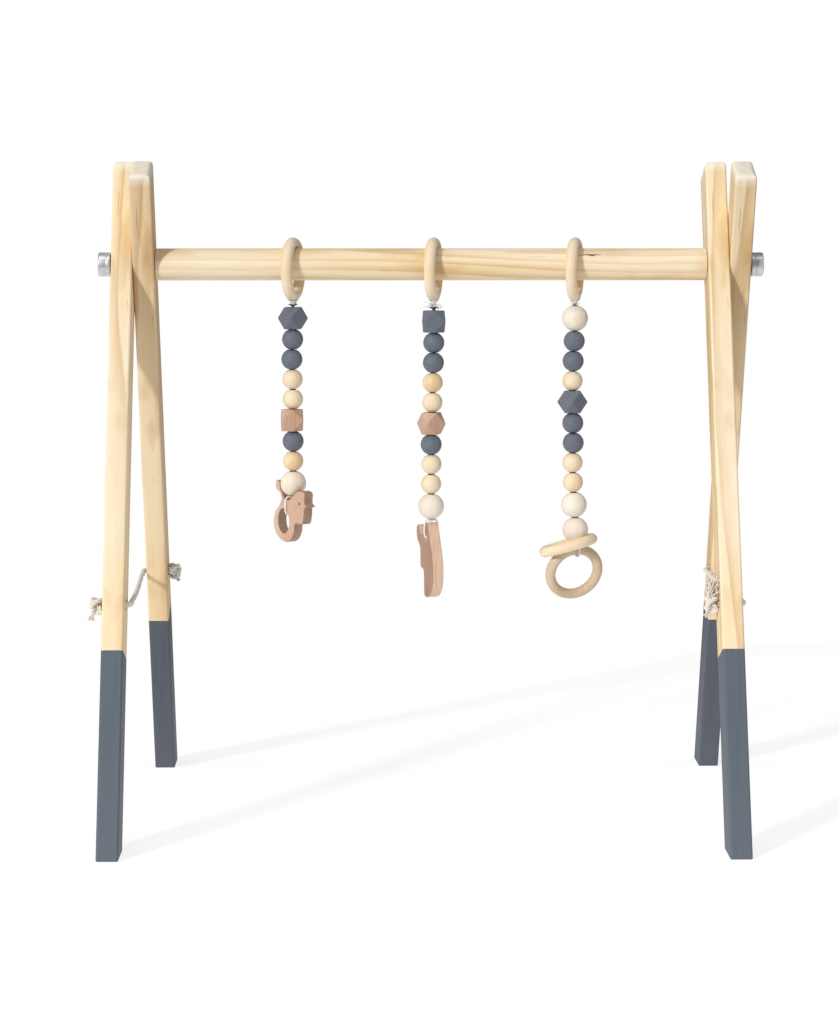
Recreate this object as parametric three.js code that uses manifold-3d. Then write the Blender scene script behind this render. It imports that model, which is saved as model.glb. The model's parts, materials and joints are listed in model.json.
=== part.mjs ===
// A wooden activity play gym: two A-frames on a round crossbar, with three strings of beads.
// Units are millimetres, +Z is up, +X runs along the crossbar and the floor is at z = 0.
import * as THREE from "three";
import { ConvexGeometry } from "three/addons/geometries/ConvexGeometry.js";
import { mergeVertices } from "three/addons/utils/BufferGeometryUtils.js";
import Module from "manifold-3d";

const wasm = await Module();
wasm.setup();

// ---- Driving dimensions ----

const GAP = 0.3; // clearance between pieces that touch

// A-frames
const FRAME_WIDTH = 600; // over the outer faces of the outer legs
const LEAN = THREE.MathUtils.degToRad(22); // each leg's lean from the vertical
const LEG_WIDTH = 20; // along X
const LEG_DEPTH = 40;
const LEG_BELOW_BOLT = 560; // along the leg, from the bolt to the middle of the sole
const LEG_ABOVE_BOLT = 97;
const LEG_EDGE = 1.5; // eased edges
const LEG_TOP_ROUND = 4;
const BOLT_HOLE_RADIUS = 4.35;
const ROPE_HOLE_RADIUS = 5.5;
const ROPE_HEIGHT = 213; // the rope holes' height above the floor
const BAR_HEIGHT = LEG_BELOW_BOLT * Math.cos(LEAN);

// Crossbar and its fastenings
const BAR_RADIUS = 15;
const BAR_CHAMFER = 1;
const INSERT_RADIUS = 6;
const INSERT_LENGTH = 16;
const INSERT_BORE_RADIUS = 4.3;
const INSERT_HOLE_DEPTH = 26;
const BOLT_RADIUS = 4;
const BOLT_REACH = 20; // how far the bolt reaches past the bar's end face
const CAP_RADIUS = 11.25;
const CAP_LENGTH = 11.4;
const CAP_CHAMFER = 1.2;
const WASHER_RADIUS = 9.5;
const WASHER_THICKNESS = 1.1;

// Rope between the legs of an A-frame
const ROPE_RADIUS = 2.75;
const KNOT_LENGTH = 12.5; // how far a knot stands off the leg
const KNOT_RADIUS = 8.5;

// Hanger and teething rings
const HANGER_RADIUS = 25; // to the middle of the ring's tube
const HANGER_TUBE = 5;
const TEETHING_RING_RADIUS = 23.75;
const TEETHING_RING_TUBE = 4.75;

// Threads
const THREAD_RADIUS = 0.8;
const LOOP_RADIUS = HANGER_TUBE + GAP + THREAD_RADIUS;
const TOP_KNOT_RADIUS = 2.2;
const LOW_KNOT_RADIUS = 1.7;
const LOW_KNOT_HALF_HEIGHT = 1.1;

// Beads: a round one has a radius, and a faceted one is twice its half wide
const BEAD_BORE = 2;
const BEADS = {
  grey: { height: 18.6, radius: 10 },
  natural: { height: 18.5, radius: 9.6 },
  white: { height: 23.8, radius: 12.2 },
  facetGrey: { height: 20.8, half: 10.3 },
  facetPink: { height: 20.8, half: 10.3 },
};

// Teether plates
const PLATE_THICKNESS = 11;
const PLATE_EDGE = 1.2;
const PLATE_STEPS = 52; // straight stretches round a plate's outline

// Fineness of the round shapes
const BLOB_DETAIL = 1;
const BEAD_SIDES = 12;
const BEAD_RINGS = 4;
const BORE_SIDES = 8;
const RING_STEPS = 20;
const RING_SIDES = 8;
const THREAD_STEPS = 70;
const ROPE_STEPS = 40;
const CORD_SIDES = 8;

// The three toys, from left to right. Turns are about the vertical, in degrees. Each bead has a
// kind and how far it hangs to the right of the toy's ring.
const TOYS = [
  {
    x: -130.3,
    ringTurn: -13,
    beadTop: 479.1,
    beads: [
      ["facetGrey", -0.4], ["grey", -0.7], ["grey", -1.5], ["natural", -1], ["natural", -0.7],
      ["facetPink", -1.6], ["grey", -0.7], ["natural", -0.7], ["white", -0.7],
    ],
    limbShift: -2.9,
    facetTurns: { 0: 38, 5: 4 },
  },
  {
    x: 2.2,
    ringTurn: -9.8,
    beadTop: 475.8,
    beads: [
      ["facetGrey", 0.2], ["grey", 0.2], ["grey", -0.1], ["natural", -0.8], ["natural", -1.1],
      ["facetPink", -2.1], ["grey", -2.2], ["natural", -2], ["natural", -2.2], ["white", -2.2],
    ],
    limbShift: -2.2,
    facetTurns: { 0: 4, 5: 26 },
  },
  {
    x: 135.6,
    ringTurn: -12,
    beadTop: 480.3,
    beads: [
      ["white", 0.5], ["grey", -0.2], ["grey", -1.1], ["natural", -1.6], ["facetGrey", -1.6],
      ["grey", -1.1], ["grey", -0.6], ["natural", -1.1], ["natural", -0.7], ["white", 0.5],
      ["white", 1.9],
    ],
    limbShift: 3.8,
    facetTurns: { 4: 42 },
  },
];
const SQUIRREL_TURN = -52;
const SQUIRREL_DROP = 9.7; // from the last bead to the middle of the limb that hangs on the thread
const ELEPHANT_TURN = -68;
const ELEPHANT_DROP = 10.3;
const LOWER_RING_DROP = 7.2;
const LOWER_RING_TILT = 20.5; // its foot swings back by this
const LOWER_RING_TURN = 16;
const UPPER_RING_PLACE = { x: -8.3, y: 3, rise: 3.8 }; // its middle, from the lower ring's top
const UPPER_RING_SLOPE = 15.7;
const UPPER_RING_TILT = 4.6;

// ---- Materials ----

function material(color, roughness, metalness = 0) {
  return new THREE.MeshStandardMaterial({ color, roughness, metalness });
}

const MATERIALS = {
  pine: material("#f2dcb8", 0.6),
  maple: material("#e6d2ae", 0.5),
  aluminium: material("#d9dbde", 0.35, 1),
  steel: material("#5b5d60", 0.45, 1),
  brass: material("#b59a5b", 0.4, 1),
  rope: material("#e9e4d8", 0.95),
  thread: material("#f3f0ea", 0.9),
  grey: material("#666c76", 0.7),
  natural: material("#ead8b6", 0.55),
  white: material("#efe7dc", 0.6),
  facetGrey: material("#666c76", 0.7),
  facetPink: material("#d3b09c", 0.65),
  beech: material("#cda68b", 0.6),
};

// ---- Small helpers ----

function piece(name, geometry, materialName) {
  const mesh = new THREE.Mesh(geometry, MATERIALS[materialName]);
  mesh.name = name;
  return mesh;
}

function solidOf(geometry) {
  const bare = geometry.clone();
  bare.deleteAttribute("normal");
  bare.deleteAttribute("uv");
  const merged = mergeVertices(bare, 1e-4);
  const mesh = new wasm.Mesh({
    numProp: 3,
    vertProperties: merged.attributes.position.array,
    triVerts: new Uint32Array(merged.index.array),
  });
  return new wasm.Manifold(mesh);
}

function geometryOf(solid) {
  const mesh = solid.getMesh();
  const geometry = new THREE.BufferGeometry();
  geometry.setAttribute("position", new THREE.BufferAttribute(mesh.vertProperties, 3));
  geometry.setIndex(new THREE.BufferAttribute(mesh.triVerts, 1));
  geometry.computeVertexNormals();
  return geometry;
}

function joined(...geometries) {
  const solids = geometries.map(solidOf);
  return geometryOf(solids.reduce((all, next) => all.add(next)));
}

// A solid of revolution about X, from [x, radius] points that run towards +X on the outside.
function turnedAlongX(points, segments) {
  const profile = points.map(([x, radius]) => new THREE.Vector2(radius, -x));
  profile.reverse();
  return new THREE.LatheGeometry(profile, segments).rotateZ(Math.PI / 2);
}

// A solid of revolution about Z, from [radius, z] points that run upwards on the outside.
function turnedAlongZ(points, segments) {
  const profile = points.map(([radius, z]) => new THREE.Vector2(radius, z));
  return new THREE.LatheGeometry(profile, segments).rotateX(Math.PI / 2);
}

// A round cord along a list of [x, y, z] points.
function cordGeometry(points, radius, steps) {
  const path = new THREE.CatmullRomCurve3(
    points.map((point) => new THREE.Vector3(...point)),
    false,
    "centripetal",
  );
  const section = new THREE.Shape();
  section.absarc(0, 0, radius, 0, 2 * Math.PI);
  return new THREE.ExtrudeGeometry(section, {
    steps,
    extrudePath: path,
    curveSegments: CORD_SIDES / 2,
    bevelEnabled: false,
  });
}

function blobGeometry(radiusX, radiusY, radiusZ) {
  return new THREE.IcosahedronGeometry(1, BLOB_DETAIL).scale(radiusX, radiusY, radiusZ);
}

// ---- A-frames ----

// A leg's profile in the plane of Y and Z: side is -1 with its foot in front and +1 behind.
function legProfile(side) {
  const sin = Math.sin(LEAN);
  const cos = Math.cos(LEAN);
  const half = LEG_DEPTH / 2;
  const at = (down, across) => [
    side * sin * down + cos * across,
    BAR_HEIGHT - cos * down + side * sin * across,
  ];
  const floorAt = (across) => at((BAR_HEIGHT + side * sin * across) / cos, across);
  const top = -LEG_ABOVE_BOLT;
  const profile = new THREE.Shape();
  profile.moveTo(...floorAt(-half));
  profile.lineTo(...floorAt(half));
  profile.lineTo(...at(top + LEG_TOP_ROUND, half));
  profile.quadraticCurveTo(...at(top, half), ...at(top, half - LEG_TOP_ROUND));
  profile.lineTo(...at(top, LEG_TOP_ROUND - half));
  profile.quadraticCurveTo(...at(top, -half), ...at(top + LEG_TOP_ROUND, -half));
  profile.closePath();
  const boltHole = new THREE.Path().absarc(0, BAR_HEIGHT, BOLT_HOLE_RADIUS, 0, 2 * Math.PI);
  const ropeY = side * (BAR_HEIGHT - ROPE_HEIGHT) * Math.tan(LEAN);
  const ropeHole = new THREE.Path().absarc(ropeY, ROPE_HEIGHT, ROPE_HOLE_RADIUS, 0, 2 * Math.PI);
  profile.holes.push(boltHole, ropeHole);
  return profile;
}

function legGeometry(side, lowX) {
  const geometry = new THREE.ExtrudeGeometry(legProfile(side), {
    depth: LEG_WIDTH - 2 * LEG_EDGE,
    bevelThickness: LEG_EDGE,
    bevelSize: LEG_EDGE,
    bevelOffset: -LEG_EDGE,
    bevelSegments: 1,
    curveSegments: 7,
  });
  const sideways = new THREE.Matrix4().makeBasis(
    new THREE.Vector3(0, 1, 0),
    new THREE.Vector3(0, 0, 1),
    new THREE.Vector3(1, 0, 0),
  );
  return geometry.applyMatrix4(sideways).translate(lowX + LEG_EDGE, 0, 0);
}

const LEG_OUTER_X = -FRAME_WIDTH / 2;
const LEG_MIDDLE_X = LEG_OUTER_X + LEG_WIDTH;
const LEG_INNER_X = LEG_MIDDLE_X + GAP + LEG_WIDTH;
const BAR_END_X = -LEG_INNER_X - GAP;

function washerGeometry() {
  const low = LEG_OUTER_X - GAP - WASHER_THICKNESS;
  const high = LEG_OUTER_X - GAP;
  const profile = [
    [low, BOLT_HOLE_RADIUS],
    [low, WASHER_RADIUS],
    [high, WASHER_RADIUS],
    [high, BOLT_HOLE_RADIUS],
    [low, BOLT_HOLE_RADIUS],
  ];
  return turnedAlongX(profile, 20).translate(0, 0, BAR_HEIGHT);
}

function capBoltGeometry() {
  const face = LEG_OUTER_X - GAP - WASHER_THICKNESS - GAP;
  const outer = face - CAP_LENGTH;
  const profile = [
    [outer, 0],
    [outer, CAP_RADIUS - CAP_CHAMFER],
    [outer + CAP_CHAMFER, CAP_RADIUS],
    [face, CAP_RADIUS],
    [face, BOLT_RADIUS],
    [-BAR_END_X + BOLT_REACH, BOLT_RADIUS],
    [-BAR_END_X + BOLT_REACH, 0],
  ];
  return turnedAlongX(profile, 24).translate(0, 0, BAR_HEIGHT);
}

function insertGeometry() {
  const low = -BAR_END_X;
  const high = low + INSERT_LENGTH;
  const profile = [
    [low, INSERT_BORE_RADIUS],
    [low, INSERT_RADIUS],
    [high, INSERT_RADIUS],
    [high, INSERT_BORE_RADIUS],
    [low, INSERT_BORE_RADIUS],
  ];
  return turnedAlongX(profile, 20).translate(0, 0, BAR_HEIGHT);
}

// The left rope's route: through the front leg, back along the middle plane, through the back leg.
const ROPE_Y = (BAR_HEIGHT - ROPE_HEIGHT) * Math.tan(LEAN);
const ROPE_ROUTE = [
  [-300, -ROPE_Y - 1.2, 213],
  [-294, -ROPE_Y - 2.1, 213],
  [-287.3, -ROPE_Y - 2.45, 213],
  [-284.5, -ROPE_Y - 2.1, 213],
  [-281.8, -ROPE_Y - 1, 213],
  [-279.6, -ROPE_Y + 0.8, 213],
  [-277.8, -ROPE_Y + 3.1, 213],
  [-276.7, -ROPE_Y + 5.7, 213],
  [-276.3, -ROPE_Y + 8.6, 213],
  [-276.4, -ROPE_Y + 18, 212.9],
  [-277.6, -60, 212.2],
  [-279.9, 0, 211.2],
  [-282.1, 60, 212.2],
  [-283.3, ROPE_Y - 18, 212.9],
  [-283.4, ROPE_Y - 8.6, 213],
  [-283, ROPE_Y - 5.7, 213],
  [-281.9, ROPE_Y - 3.1, 213],
  [-280.1, ROPE_Y - 0.8, 213],
  [-277.9, ROPE_Y + 1, 213],
  [-275.2, ROPE_Y + 2.1, 213],
  [-272.4, ROPE_Y + 2.45, 213],
  [-265.7, ROPE_Y + 2.1, 213],
  [-259.7, ROPE_Y + 1.2, 213],
];

// A knot on the end of a rope, standing off a leg face at faceX; away is -1 or +1 along X.
function knotGeometry(faceX, y, away) {
  const knot = blobGeometry(KNOT_LENGTH / 2, KNOT_RADIUS, KNOT_RADIUS);
  return knot.translate(faceX + away * (GAP + KNOT_LENGTH / 2), y, ROPE_HEIGHT);
}

// The left A-frame; the right one is the same group turned half round.
function aFrame(name) {
  const group = new THREE.Group();
  group.add(
    piece(name + "_outer_leg", legGeometry(-1, LEG_OUTER_X), "pine"),
    piece(name + "_inner_leg", legGeometry(1, LEG_MIDDLE_X + GAP), "pine"),
    piece(name + "_cap_bolt", capBoltGeometry(), "aluminium"),
    piece(name + "_washer", washerGeometry(), "steel"),
    piece(name + "_threaded_insert", insertGeometry(), "brass"),
    piece(name + "_rope", cordGeometry(ROPE_ROUTE, ROPE_RADIUS, ROPE_STEPS), "rope"),
    piece(name + "_outer_rope_knot", knotGeometry(LEG_OUTER_X, -ROPE_Y, -1), "rope"),
    piece(name + "_inner_rope_knot", knotGeometry(LEG_INNER_X, ROPE_Y, 1), "rope"),
  );
  return group;
}

// ---- Crossbar ----

function barGeometry() {
  const hole = INSERT_RADIUS + GAP;
  const profile = [
    [-BAR_END_X + INSERT_HOLE_DEPTH, 0],
    [-BAR_END_X + INSERT_HOLE_DEPTH, hole],
    [-BAR_END_X, hole],
    [-BAR_END_X, BAR_RADIUS - BAR_CHAMFER],
    [-BAR_END_X + BAR_CHAMFER, BAR_RADIUS],
    [BAR_END_X - BAR_CHAMFER, BAR_RADIUS],
    [BAR_END_X, BAR_RADIUS - BAR_CHAMFER],
    [BAR_END_X, hole],
    [BAR_END_X - INSERT_HOLE_DEPTH, hole],
    [BAR_END_X - INSERT_HOLE_DEPTH, 0],
  ];
  return turnedAlongX(profile, 32);
}

// ---- Beads and rings ----

function roundBead({ height, radius }) {
  const half = height / 2;
  const edge = Math.asin(half / radius);
  const profile = [[BEAD_BORE, -half]];
  for (let i = 0; i <= BEAD_RINGS; i += 1) {
    const angle = -edge + (2 * edge * i) / BEAD_RINGS;
    profile.push([radius * Math.cos(angle), radius * Math.sin(angle)]);
  }
  profile.push([BEAD_BORE, half], [BEAD_BORE, -half]);
  return turnedAlongZ(profile, BEAD_SIDES);
}

// A cuboctahedron with square faces at the top and bottom, bored from top to bottom.
function facetBead({ height, half }) {
  const corners = [];
  for (const a of [-1, 1]) {
    for (const b of [-1, 1]) {
      corners.push(new THREE.Vector3(a, b, 0), new THREE.Vector3(a, 0, b), new THREE.Vector3(0, a, b));
    }
  }
  const body = new ConvexGeometry(corners).scale(half, half, height / 2);
  const bore = new THREE.CylinderGeometry(BEAD_BORE, BEAD_BORE, 2 * height, BORE_SIDES);
  bore.rotateX(Math.PI / 2);
  return geometryOf(solidOf(body).subtract(solidOf(bore)));
}

function beadGeometry(kind) {
  const size = BEADS[kind];
  return size.half ? facetBead(size) : roundBead(size);
}

// A ring whose axis lies along X.
function ringGeometry(radius, tube) {
  return new THREE.TorusGeometry(radius, tube, RING_SIDES, RING_STEPS).rotateY(Math.PI / 2);
}

// ---- Teethers: flat plates in the plane of X and Z, hung at their own origin ----

// Squirrel: a ring of a body, its head and nose on the right and its tail up on the left.
const SQUIRREL = [
  [-6, 0], [0.5, 0.6], [5.5, 4.2], [9.4, 10.6],
  [10.4, 17], [12.5, 18.8], [22.5, 19.2], [25.2, 27.5],
  [26.2, 34.2], [30.2, 36], [26.4, 38.8], [26.2, 48.4],
  [19.5, 50.2], [13, 48.4], [6.9, 44], [2.2, 40.8],
  [-3, 40.3], [-6.5, 42], [-8.9, 46], [-12.2, 50.5],
  [-13.8, 57], [-18, 58], [-19.2, 53], [-17.5, 49],
  [-12.4, 46.4], [-10.2, 42], [-13, 35.5], [-20, 28],
  [-23, 19], [-20.4, 9], [-13.5, 2.6],
];
const SQUIRREL_HOLE = { x: -6.9, z: 19.9, radiusX: 8.8, radiusZ: 12 };
// A limb is what the thread goes round: its middle, how far the thread keeps above and below it,
// and how much higher the thread bends in towards the beads.
const SQUIRREL_LIMB = { x: -1.6, z: 34.2, halfHeight: 6.5, shoulder: 1.6 };
const EYE_HOLE = { x: 18.4, z: 38, radiusX: 1.1, radiusZ: 1.1 };

// Elephant: sitting up, its trunk raised on the left, its back on the right.
const ELEPHANT = [
  [-6.5, 0], [4, 0.6], [10.8, 6.5], [14.6, 17],
  [14.6, 28], [12.4, 40], [8.4, 52], [4.8, 62],
  [1.4, 69.4], [-2.6, 71], [-6.8, 68.6], [-9.4, 62.5],
  [-13.2, 58.3], [-16.6, 59.8], [-18.2, 65], [-21.5, 67.4],
  [-25.4, 65.5], [-26.4, 59], [-24.6, 52.5], [-20.5, 49],
  [-17.6, 44], [-17.2, 30], [-15.5, 26.4], [-10.5, 25.2],
  [-8.6, 20], [-8, 6],
];
const ELEPHANT_HOLE = { x: -3, z: 55, radiusX: 2.7, radiusZ: 2.7 };
const ELEPHANT_LIMB = { x: -3, z: 64.1, halfHeight: 6.9, shoulder: 2.1 };

function ovalHole({ x, z, radiusX, radiusZ }) {
  return new THREE.Path().absellipse(x, z, radiusX, radiusZ, 0, 2 * Math.PI);
}

function plateGeometry(outline, holes) {
  const curve = new THREE.CatmullRomCurve3(
    outline.map(([x, z]) => new THREE.Vector3(x, z, 0)),
    true,
    "centripetal",
  );
  const points = curve.getPoints(PLATE_STEPS).slice(0, -1);
  const profile = new THREE.Shape(points.map((point) => new THREE.Vector2(point.x, point.y)));
  profile.holes.push(...holes.map(ovalHole));
  const geometry = new THREE.ExtrudeGeometry(profile, {
    depth: PLATE_THICKNESS - 2 * PLATE_EDGE,
    bevelThickness: PLATE_EDGE,
    bevelSize: PLATE_EDGE,
    bevelOffset: -PLATE_EDGE,
    bevelSegments: 1,
    curveSegments: 6,
  });
  geometry.translate(0, 0, PLATE_EDGE - PLATE_THICKNESS / 2);
  return geometry.rotateX(Math.PI / 2);
}

// A plate placed so that the middle of the limb on the thread is at its origin.
function hungPlate(name, outline, holes, limb) {
  const geometry = plateGeometry(outline, holes).translate(-limb.x, 0, -limb.z);
  return piece(name, geometry, "beech");
}

// ---- Toys ----

const HANGER_Z = BAR_HEIGHT + BAR_RADIUS + GAP + HANGER_TUBE - HANGER_RADIUS; // rests on the bar
const LOOP_BOTTOM = HANGER_Z - HANGER_RADIUS - LOOP_RADIUS - THREAD_RADIUS;

// The bead thread: a knot, a run through the middles of the beads, and a loop round the limb.
function threadGeometry(beadTop, beadBottom, middles, limb) {
  const knotHalf = Math.min(TOP_KNOT_RADIUS, (LOOP_BOTTOM - beadTop) / 2 - GAP);
  const knotZ = LOOP_BOTTOM - GAP - knotHalf;
  const reach = limb.half + 2 * GAP + THREAD_RADIUS;
  const under = limb.z - limb.halfHeight - THREAD_RADIUS - GAP;
  const turn = THREE.MathUtils.degToRad(limb.turn);
  const side = (across, z) => [limb.x - Math.sin(turn) * across, Math.cos(turn) * across, z];
  const shoulder = limb.z + limb.halfHeight + limb.shoulder;
  const front = [
    [0.72, shoulder],
    [1, limb.z],
    [0.86, under + 1.1],
    [0.45, under],
  ];
  const lastX = middles.at(-1)[0];
  const neckX = THREE.MathUtils.lerp(lastX, limb.x, 0.3);
  const route = [
    [0, 0, knotZ],
    ...middles,
    [lastX, 0, beadBottom + 2],
    [neckX, 0, beadBottom - 0.7],
    ...front.map(([share, z]) => side(share * reach, z)),
    ...front.map(([share, z]) => side(-share * reach, z)).reverse(),
    [neckX, 0, beadBottom - 2],
  ];
  const strand = cordGeometry(route, THREAD_RADIUS, THREAD_STEPS);
  const topKnot = blobGeometry(TOP_KNOT_RADIUS, TOP_KNOT_RADIUS, knotHalf).translate(0, 0, knotZ);
  const lowKnot = blobGeometry(LOW_KNOT_RADIUS, LOW_KNOT_RADIUS, LOW_KNOT_HALF_HEIGHT);
  lowKnot.translate(neckX, 0, beadBottom - 1.7);
  return joined(strand, topKnot, lowKnot);
}

function beadString(toy, index) {
  const group = new THREE.Group();
  const middles = [];
  let top = toy.beadTop;
  toy.beads.forEach(([kind, shift], i) => {
    const bead = piece("toy_" + index + "_bead_" + (i + 1), beadGeometry(kind), kind);
    bead.position.set(shift, 0, top - BEADS[kind].height / 2);
    bead.rotation.z = THREE.MathUtils.degToRad(toy.facetTurns[i] ?? 0);
    top -= BEADS[kind].height + GAP;
    middles.push(bead.position.toArray());
    group.add(bead);
  });
  return { group, middles, bottom: top + GAP };
}

function hangerAndLoop(toy, index) {
  const group = new THREE.Group();
  group.rotation.z = THREE.MathUtils.degToRad(toy.ringTurn);
  const ring = piece("toy_" + index + "_hanger_ring", ringGeometry(HANGER_RADIUS, HANGER_TUBE), "maple");
  ring.position.z = HANGER_Z;
  const loop = piece(
    "toy_" + index + "_hanging_loop",
    new THREE.TorusGeometry(LOOP_RADIUS, THREAD_RADIUS, 6, 16).rotateX(Math.PI / 2),
    "thread",
  );
  loop.position.z = HANGER_Z - HANGER_RADIUS;
  group.add(ring, loop);
  return group;
}

// Each of these hangs one toy's lowest pieces and says which limb its thread loop goes round.
function hangPlate(group, plate, limb, z, turn) {
  plate.position.z = z;
  plate.rotation.z = THREE.MathUtils.degToRad(turn);
  group.add(plate);
  return { ...limb, z, half: PLATE_THICKNESS / 2, turn };
}

function hangSquirrel(group, beadBottom) {
  const holes = [SQUIRREL_HOLE, EYE_HOLE];
  const plate = hungPlate("toy_1_squirrel_teether", SQUIRREL, holes, SQUIRREL_LIMB);
  return hangPlate(group, plate, SQUIRREL_LIMB, beadBottom - SQUIRREL_DROP, SQUIRREL_TURN);
}

function hangElephant(group, beadBottom) {
  const plate = hungPlate("toy_2_elephant_teether", ELEPHANT, [ELEPHANT_HOLE], ELEPHANT_LIMB);
  return hangPlate(group, plate, ELEPHANT_LIMB, beadBottom - ELEPHANT_DROP, ELEPHANT_TURN);
}

function hangRings(group, beadBottom) {
  const z = beadBottom - LOWER_RING_DROP;
  const ring = ringGeometry(TEETHING_RING_RADIUS, TEETHING_RING_TUBE);
  const lower = piece("toy_3_lower_ring", ring.clone().rotateZ(Math.PI / 2), "maple");
  lower.position.z = -TEETHING_RING_RADIUS;
  const hung = new THREE.Group();
  hung.position.z = z;
  hung.rotation.order = "ZYX";
  hung.rotation.x = THREE.MathUtils.degToRad(LOWER_RING_TILT);
  hung.rotation.z = THREE.MathUtils.degToRad(LOWER_RING_TURN);
  hung.add(lower);
  const upper = piece("toy_3_upper_ring", ring.clone().rotateY(Math.PI / 2), "maple");
  upper.position.set(UPPER_RING_PLACE.x, UPPER_RING_PLACE.y, z + UPPER_RING_PLACE.rise);
  upper.rotation.y = THREE.MathUtils.degToRad(-UPPER_RING_SLOPE);
  upper.rotation.x = THREE.MathUtils.degToRad(-UPPER_RING_TILT);
  group.add(hung, upper);
  const half = TEETHING_RING_TUBE;
  return { z, half, halfHeight: half, turn: LOWER_RING_TURN, shoulder: 0 };
}

const HANGERS = [hangSquirrel, hangElephant, hangRings];

function toyGroup(toy, number) {
  const group = new THREE.Group();
  group.position.x = toy.x;
  const { group: beads, middles, bottom } = beadString(toy, number);
  const hung = new THREE.Group();
  hung.position.x = toy.limbShift;
  const limb = { ...HANGERS[number - 1](hung, bottom), x: toy.limbShift };
  const geometry = threadGeometry(toy.beadTop, bottom, middles, limb);
  const thread = piece("toy_" + number + "_bead_thread", geometry, "thread");
  group.add(hangerAndLoop(toy, number), beads, hung, thread);
  return group;
}

// ---- The whole gym ----

const gym = new THREE.Group();
const crossbar = piece("crossbar_dowel", barGeometry(), "pine");
crossbar.position.z = BAR_HEIGHT;
const rightFrame = aFrame("right");
rightFrame.rotation.z = Math.PI;
gym.add(crossbar, aFrame("left"), rightFrame);
TOYS.forEach((toy, i) => gym.add(toyGroup(toy, i + 1)));

export default gym;
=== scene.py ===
"""A wooden activity play gym: fine pieces, cords, materials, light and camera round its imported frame.

Lengths are metres in the frame's own axes: +Z is up, +X runs along the crossbar, the floor is at z = 0.
"""

import json
import math
import random

import bmesh
import bpy
from mathutils import Matrix, Vector


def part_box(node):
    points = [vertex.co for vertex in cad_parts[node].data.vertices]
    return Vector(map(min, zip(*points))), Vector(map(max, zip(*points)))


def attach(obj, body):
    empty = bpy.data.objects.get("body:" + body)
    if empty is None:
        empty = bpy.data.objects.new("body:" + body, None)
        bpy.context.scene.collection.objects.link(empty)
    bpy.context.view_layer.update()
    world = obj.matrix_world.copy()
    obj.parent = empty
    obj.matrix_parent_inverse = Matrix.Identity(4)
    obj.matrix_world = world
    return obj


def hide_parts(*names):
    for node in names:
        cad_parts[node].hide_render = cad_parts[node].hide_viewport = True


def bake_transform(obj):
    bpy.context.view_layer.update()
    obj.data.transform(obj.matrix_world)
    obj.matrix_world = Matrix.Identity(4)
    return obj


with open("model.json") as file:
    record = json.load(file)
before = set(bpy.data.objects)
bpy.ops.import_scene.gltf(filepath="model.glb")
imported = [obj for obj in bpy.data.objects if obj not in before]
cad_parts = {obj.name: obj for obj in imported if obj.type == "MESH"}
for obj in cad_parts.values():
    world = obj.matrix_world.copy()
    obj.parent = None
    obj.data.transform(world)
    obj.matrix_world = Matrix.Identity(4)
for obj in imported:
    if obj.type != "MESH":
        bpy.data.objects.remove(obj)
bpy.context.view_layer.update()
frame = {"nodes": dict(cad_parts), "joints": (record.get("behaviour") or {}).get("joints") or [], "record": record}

# ---- Sizes ----

# A hole, a bore, a shank, a ring and the tube of a ring are given by their radius.
MM = 0.001

# Legs
LEAN = math.radians(22)
LEG_DEPTH = 40 * MM
LEG_ABOVE_BOLT = 97 * MM
LEG_EDGE = 2 * MM  # rounding of the long edges
LEG_TOP_EDGE = 4.5 * MM
SOLE_EDGE = 1.2 * MM
BOLT_HOLE = 4.35 * MM
ROPE_HOLE = 5.5 * MM
PAINT_EDGE = 183 * MM  # from the middle of a sole, along the leg

# Crossbar and its fastenings
BAR_EDGE = 1 * MM
INSERT_HOLE = 6.3 * MM
INSERT_HOLE_DEPTH = 26 * MM
SPLIT_START = 138 * MM  # a split in the bar's surface, along X
SPLIT_END = 161 * MM
SPLIT_WIDE = 151 * MM  # where the split is widest
SPLIT_ANGLE = math.radians(36.5)  # above the horizontal, on the front
SPLIT_WIDTH = 2.6 * MM
SPLIT_DEPTH = 2.2 * MM
CAP_EDGE = 1.3 * MM
CAP_GAP = 0.3 * MM  # between a cap and its washer
BOLT_SHANK = 4 * MM

# Rope
ROPE_DIAMETER = 5.5 * MM
ROPE_PITCH = 15 * MM
KNOT_ROPE = 2.3 * MM  # radius of the rope where it is pulled into a knot

# Rings
HANGER_RADIUS = 25 * MM
HANGER_TUBE = 5 * MM
TEETHING_RADIUS = 23.75 * MM
TEETHING_TUBE = 4.75 * MM
RING_FULLNESS = 1.06  # how much thicker a ring is along its axis than across
UPPER_RING_SLOPE = math.radians(15.7)
UPPER_RING_TILT = math.radians(4.6)

# Beads and threads
BEAD_BORE = 2 * MM
FACET_HALF = 10.3 * MM  # half the width of a faceted bead across its flats
FACET_TURNS = {  # degrees about the string
    "toy_1_bead_1": 38,
    "toy_1_bead_6": 4,
    "toy_2_bead_1": 4,
    "toy_2_bead_6": 26,
    "toy_3_bead_5": 42,
}
THREAD_RADIUS = 0.8 * MM

# Teether plates
PLATE_THICKNESS = 11 * MM
PLATE_EDGE = 1.3 * MM
SQUIRREL_TURN = math.radians(-52)
ELEPHANT_TURN = math.radians(-68)


def middle(node):
    """The middle of a CAD node's box."""
    low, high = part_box(node)
    return (low + high) / 2


def extent(node):
    """A CAD node's size along X, Y and Z."""
    low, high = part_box(node)
    return high - low


RECORD = frame["record"]
BODY_OF = {node: body for body, nodes in RECORD["behaviour"]["bodies"].items() for node in nodes}
SLOT_OF = {part["node"]: part["material_slot"] for part in RECORD["subparts"]}
JOINTS = {joint["name"]: joint for joint in frame["joints"]}
BAR = middle("crossbar_dowel")
BAR_RADIUS = extent("crossbar_dowel").z / 2
ROPE_HEIGHT = middle("left_outer_rope_knot").z
ROPE_Y = (BAR.z - ROPE_HEIGHT) * math.tan(LEAN)


# ---- Materials ----


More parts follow.
